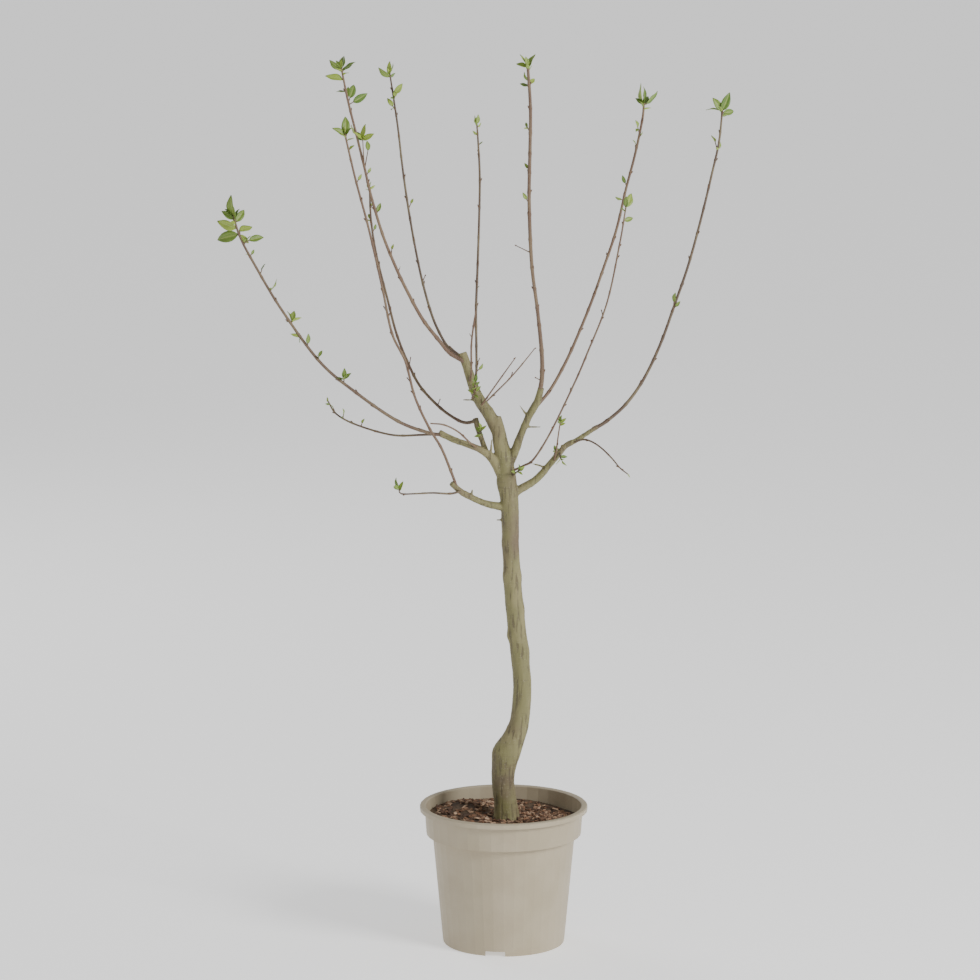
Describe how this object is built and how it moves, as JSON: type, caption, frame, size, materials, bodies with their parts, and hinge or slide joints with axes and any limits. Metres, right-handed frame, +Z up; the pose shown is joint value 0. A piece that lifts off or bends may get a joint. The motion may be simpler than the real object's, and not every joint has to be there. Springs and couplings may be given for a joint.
{
  "type": "potted greengage plum tree",
  "caption": "Young fruit tree in a round nursery pot: a bare olive trunk with cut-back boughs and slender upright shoots that carry the first small spring leaves.",
  "frame": {"origin": "middle of the pot's flat underside, where it stands", "axes": "+Z straight up from the ground, -Y towards the side seen in the picture, +X to the right of that view"},
  "size_m": [0.6649, 0.4173, 1.1735],
  "materials": {
    "taupe_plastic": "smooth matte",
    "bark_compost": "loose bark chips",
    "olive_bark": "smooth young bark with fine cracks",
    "leafy_shoot": "thin stems with young green leaves"
  },
  "bodies": {
    "root": {"pot": "taupe_plastic", "compost": "bark_compost", "trunk": "olive_bark", "leader": "olive_bark", "bough_left_low": "olive_bark", "bough_left_mid": "olive_bark", "bough_left_stub": "olive_bark", "bough_right_mid": "olive_bark", "bough_right_low": "olive_bark", "shoot_far_left": "leafy_shoot", "shoot_low_left": "leafy_shoot", "shoot_left_front": "leafy_shoot", "shoot_left_back": "leafy_shoot", "shoot_left_tall": "leafy_shoot", "shoot_mid_left": "leafy_shoot", "shoot_centre": "leafy_shoot", "shoot_centre_short": "leafy_shoot", "shoot_mid_right": "leafy_shoot", "shoot_right_tall": "leafy_shoot", "shoot_right_thin": "leafy_shoot", "shoot_far_right": "leafy_shoot", "twig_inner_short": "leafy_shoot", "twig_inner_long": "leafy_shoot", "twig_left_upper": "leafy_shoot", "twig_left_lower": "leafy_shoot", "twig_right_drooping": "leafy_shoot", "twig_right_upright": "leafy_shoot", "sprout_on_leader": "leafy_shoot", "sprout_on_stub": "leafy_shoot", "sprout_on_trunk": "leafy_shoot", "sprout_on_right_bough": "leafy_shoot", "sprout_in_fork": "leafy_shoot"}
  },
  "joints": []
}
